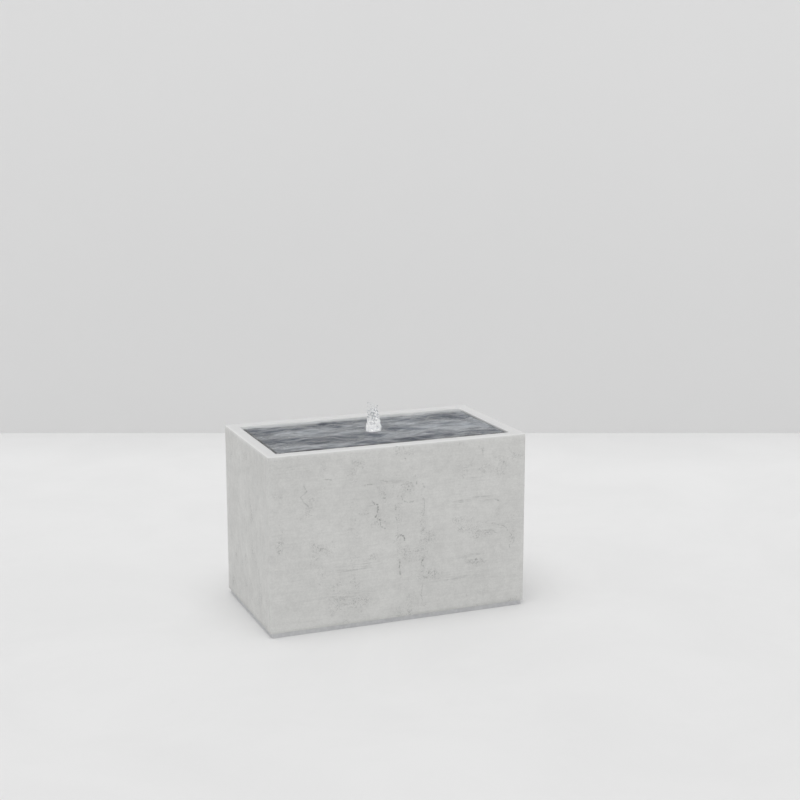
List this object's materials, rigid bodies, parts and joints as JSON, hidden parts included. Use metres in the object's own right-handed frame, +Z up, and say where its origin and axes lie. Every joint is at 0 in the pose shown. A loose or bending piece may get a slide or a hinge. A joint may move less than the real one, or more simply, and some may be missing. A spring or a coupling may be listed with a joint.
{
  "type": "garden fountain",
  "caption": "Rectangular concrete water block on a recessed plinth, brim-full of dark water, with a submerged pump, telescopic riser, ring light and a low bubbling jet.",
  "frame": {"origin": "on the ground, at the centre of the footprint", "axes": "+X along the long side, -Y towards the front, +Z up"},
  "size_m": [0.9, 0.5, 0.7],
  "materials": {
    "concrete": "matte",
    "plinth_steel": "satin",
    "brass": "satin",
    "zinc_steel": "satin",
    "stainless": "satin",
    "black_rubber": "matte",
    "sealant": "satin",
    "grey_plastic": "matte",
    "basin_plastic": "satin",
    "black_plastic": "satin",
    "plug_plastic": "satin",
    "pump_plastic": "satin",
    "impeller_plastic": "satin",
    "dial_plastic": "satin",
    "strainer_plastic": "satin",
    "riser_plastic": "satin",
    "light_plastic": "satin",
    "magnet": "satin",
    "ceramic_white": "satin",
    "circuit_board": "satin",
    "led_yellow": "gloss",
    "lens_glass": "gloss",
    "still_water": "gloss",
    "white_water": "gloss"
  },
  "bodies": {
    "fountain": {"casing": "concrete", "rim_inserts": "brass", "plinth_frame": "plinth_steel", "cable_grommet": "black_rubber", "basin_bearers": "grey_plastic", "bearer_bolts": "zinc_steel", "bearer_nuts": "zinc_steel", "casing_brackets": "zinc_steel", "bracket_screws": "zinc_steel", "basin": "basin_plastic", "rim_seal": "sealant", "flange_screws": "stainless", "basin_pads": "black_rubber", "drain_body": "black_plastic", "drain_washer": "black_rubber", "drain_locknut": "black_plastic", "gland_body": "black_plastic", "gland_sleeve": "black_rubber", "gland_cap": "black_plastic", "gland_washer": "black_rubber", "gland_locknut": "black_plastic", "pump_motor": "pump_plastic", "pump_volute": "pump_plastic", "volute_o_ring": "black_rubber", "rotor_shaft": "ceramic_white", "shaft_bush": "black_rubber", "dial_clip": "stainless", "strainer_rear": "strainer_plastic", "pump_feet": "black_rubber", "riser_coupling": "black_plastic", "riser_lower": "riser_plastic", "riser_seal": "black_rubber", "water_surface": "still_water", "water_jet": "white_water"},
    "drain_stopper": {"drain_plug": "plug_plastic", "drain_o_ring": "black_rubber"},
    "rotor": {"rotor_magnet": "magnet", "impeller": "impeller_plastic"},
    "dial": {"flow_dial": "dial_plastic"},
    "strainer_cover": {"strainer_front": "strainer_plastic"},
    "lock_ring": {"riser_lock_ring": "black_plastic"},
    "nozzle_group": {"riser_upper": "riser_plastic", "nozzle_body": "brass", "nozzle_insert": "stainless", "light_housing": "light_plastic", "light_board": "circuit_board", "light_leds": "led_yellow", "light_gaskets": "black_rubber", "light_lens": "lens_glass", "light_bezel": "stainless", "light_screws": "stainless"}
  },
  "joints": [
    {"name": "nozzle_height", "type": "slide", "parent": "fountain", "child": "nozzle_group", "axis": [0, 0, 1], "range_m": [-0.12, 0], "deforming": ["water_jet"]},
    {"name": "lock_ring_turn", "type": "hinge", "parent": "fountain", "child": "lock_ring", "pos_m": [0, 0, 0.376], "axis": [0, 0, 1], "range_deg": [0, 90]},
    {"name": "impeller_spin", "type": "hinge", "parent": "fountain", "child": "rotor", "pos_m": [0, -0.012, 0.121], "axis": [1, 0, 0], "continuous": true},
    {"name": "flow_dial_turn", "type": "hinge", "parent": "fountain", "child": "dial", "pos_m": [0, -0.012, 0.121], "axis": [1, 0, 0], "range_deg": [0, 90]},
    {"name": "strainer_pull", "type": "slide", "parent": "fountain", "child": "strainer_cover", "axis": [1, 0, 0], "range_m": [0, 0.08]},
    {"name": "drain_plug_pull", "type": "slide", "parent": "fountain", "child": "drain_stopper", "axis": [0, 0, 1], "range_m": [0, 0.06]}
  ]
}
